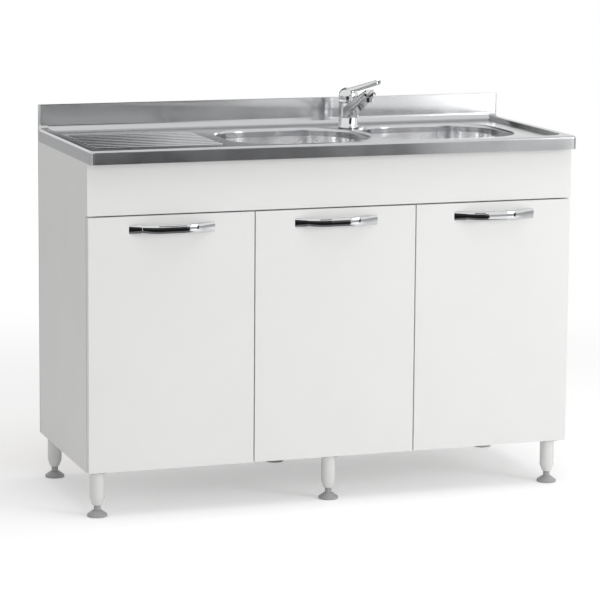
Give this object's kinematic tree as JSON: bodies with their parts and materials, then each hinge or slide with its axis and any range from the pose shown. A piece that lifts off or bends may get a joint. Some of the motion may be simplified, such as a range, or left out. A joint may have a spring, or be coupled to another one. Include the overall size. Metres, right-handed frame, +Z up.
{
  "type": "kitchen sink unit",
  "caption": "Kitchen base cabinet with doors, bow handles and adjustable feet under a pressed steel top with drainer, bowls, mixer tap and waste trap.",
  "frame": {"origin": "on the floor under the middle of the steel top", "axes": "+X along the length to the right seen from the front, +Y to the wall, +Z up"},
  "size_m": [1.2, 0.5, 0.9803],
  "materials": {
    "steel_sheet": "satin",
    "chrome_plate": "polished",
    "zinc_plate": "satin",
    "cast_brass": "satin",
    "faced_board": "satin",
    "hardboard": "matt",
    "leg_plastic": "gloss",
    "foot_plastic": "matt",
    "pipe_plastic": "satin",
    "black_rubber": "matt"
  },
  "bodies": {
    "cabinet": {"side_panel_left": "faced_board", "side_panel_right": "faced_board", "bottom_panel": "faced_board", "front_rail": "faced_board", "rear_rail": "faced_board", "fascia_panel": "faced_board", "partition_panel": "faced_board", "back_panel": "hardboard", "shelf": "faced_board", "shelf_pins": "zinc_plate", "sink_top": "steel_sheet", "bowl_left": "steel_sheet", "bowl_right": "steel_sheet", "sink_clips": "zinc_plate", "waste_left": "pipe_plastic", "waste_right": "pipe_plastic", "waste_gaskets": "black_rubber", "waste_nuts": "pipe_plastic", "cross_pipe": "pipe_plastic", "trap_body": "pipe_plastic", "trap_cup": "pipe_plastic", "outlet_pipe": "pipe_plastic", "pipe_nuts": "pipe_plastic", "tap_seal": "black_rubber", "tap_body": "chrome_plate", "tap_collar": "chrome_plate", "tap_clamp": "zinc_plate", "tap_nut": "cast_brass", "hinge_arms": "zinc_plate", "hinge_plates": "zinc_plate", "leg_plates": "foot_plastic", "leg_tubes": "leg_plastic"},
    "door_left": {"door_left": "faced_board", "handle_left": "chrome_plate", "handle_screws_left": "zinc_plate", "hinge_cups_left": "zinc_plate"},
    "links_left": {"hinge_links_left": "zinc_plate"},
    "door_middle": {"door_middle": "faced_board", "handle_middle": "chrome_plate", "handle_screws_middle": "zinc_plate", "hinge_cups_middle": "zinc_plate"},
    "links_middle": {"hinge_links_middle": "zinc_plate"},
    "door_right": {"door_right": "faced_board", "handle_right": "chrome_plate", "handle_screws_right": "zinc_plate", "hinge_cups_right": "zinc_plate"},
    "links_right": {"hinge_links_right": "zinc_plate"},
    "foot_front_left": {"foot_front_left": "foot_plastic"},
    "foot_front_middle": {"foot_front_middle": "foot_plastic"},
    "foot_front_right": {"foot_front_right": "foot_plastic"},
    "foot_rear_left": {"foot_rear_left": "foot_plastic"},
    "foot_rear_middle": {"foot_rear_middle": "foot_plastic"},
    "foot_rear_right": {"foot_rear_right": "foot_plastic"},
    "spout": {"spout": "chrome_plate", "aerator": "chrome_plate"},
    "lever_spindle": {"lever_spindle": "zinc_plate"},
    "lever": {"lever": "chrome_plate"},
    "basket_left": {"basket_left": "steel_sheet"},
    "basket_right": {"basket_right": "steel_sheet"}
  },
  "joints": [
    {"name": "links_left_turn", "type": "hinge", "parent": "cabinet", "child": "links_left", "pos_m": [-0.5652, -0.1897, 0.40725], "axis": [0, 0, 1], "range_deg": [0, 36]},
    {"name": "door_left_swing", "type": "hinge", "parent": "links_left", "child": "door_left", "pos_m": [-0.5871, -0.2066, 0.40725], "axis": [0, 0, -1], "range_deg": [0, 131]},
    {"name": "links_middle_turn", "type": "hinge", "parent": "cabinet", "child": "links_middle", "pos_m": [-0.1652, -0.1897, 0.40725], "axis": [0, 0, 1], "range_deg": [0, 36]},
    {"name": "door_middle_swing", "type": "hinge", "parent": "links_middle", "child": "door_middle", "pos_m": [-0.1871, -0.2066, 0.40725], "axis": [0, 0, -1], "range_deg": [0, 131]},
    {"name": "links_right_turn", "type": "hinge", "parent": "cabinet", "child": "links_right", "pos_m": [0.5652, -0.1897, 0.40725], "axis": [0, 0, -1], "range_deg": [0, 36]},
    {"name": "door_right_swing", "type": "hinge", "parent": "links_right", "child": "door_right", "pos_m": [0.5871, -0.2066, 0.40725], "axis": [0, 0, 1], "range_deg": [0, 131]},
    {"name": "spout_swivel", "type": "hinge", "parent": "cabinet", "child": "spout", "pos_m": [0.16, 0.142, 0.895], "axis": [0, 0, 1], "range_deg": [-70, 70]},
    {"name": "lever_turn", "type": "hinge", "parent": "cabinet", "child": "lever_spindle", "pos_m": [0.16, 0.142, 0.93], "axis": [0, 0, 1], "range_deg": [-45, 35]},
    {"name": "lever_lift", "type": "hinge", "parent": "lever_spindle", "child": "lever", "pos_m": [0.1571, 0.15364, 0.935], "axis": [-0.9703, -0.2419, 0], "range_deg": [0, 20]},
    {"name": "basket_left_lift", "type": "slide", "parent": "cabinet", "child": "basket_left", "axis": [0, 0, 1], "range_m": [0, 0.2]},
    {"name": "basket_right_lift", "type": "slide", "parent": "cabinet", "child": "basket_right", "axis": [0, 0, 1], "range_m": [0, 0.2]},
    {"name": "foot_front_left_screw", "type": "slide", "parent": "cabinet", "child": "foot_front_left", "axis": [0, 0, -1], "range_m": [-0.012, 0.015]},
    {"name": "foot_front_middle_screw", "type": "slide", "parent": "cabinet", "child": "foot_front_middle", "axis": [0, 0, -1], "range_m": [-0.012, 0.015]},
    {"name": "foot_front_right_screw", "type": "slide", "parent": "cabinet", "child": "foot_front_right", "axis": [0, 0, -1], "range_m": [-0.012, 0.015]},
    {"name": "foot_rear_left_screw", "type": "slide", "parent": "cabinet", "child": "foot_rear_left", "axis": [0, 0, -1], "range_m": [-0.012, 0.015]},
    {"name": "foot_rear_middle_screw", "type": "slide", "parent": "cabinet", "child": "foot_rear_middle", "axis": [0, 0, -1], "range_m": [-0.012, 0.015]},
    {"name": "foot_rear_right_screw", "type": "slide", "parent": "cabinet", "child": "foot_rear_right", "axis": [0, 0, -1], "range_m": [-0.012, 0.015]}
  ],
  "couplings": [
    {"joint": "links_left_turn", "follows": "door_left_swing", "ratio": 0.2748},
    {"joint": "links_middle_turn", "follows": "door_middle_swing", "ratio": 0.2748},
    {"joint": "links_right_turn", "follows": "door_right_swing", "ratio": 0.2748}
  ]
}
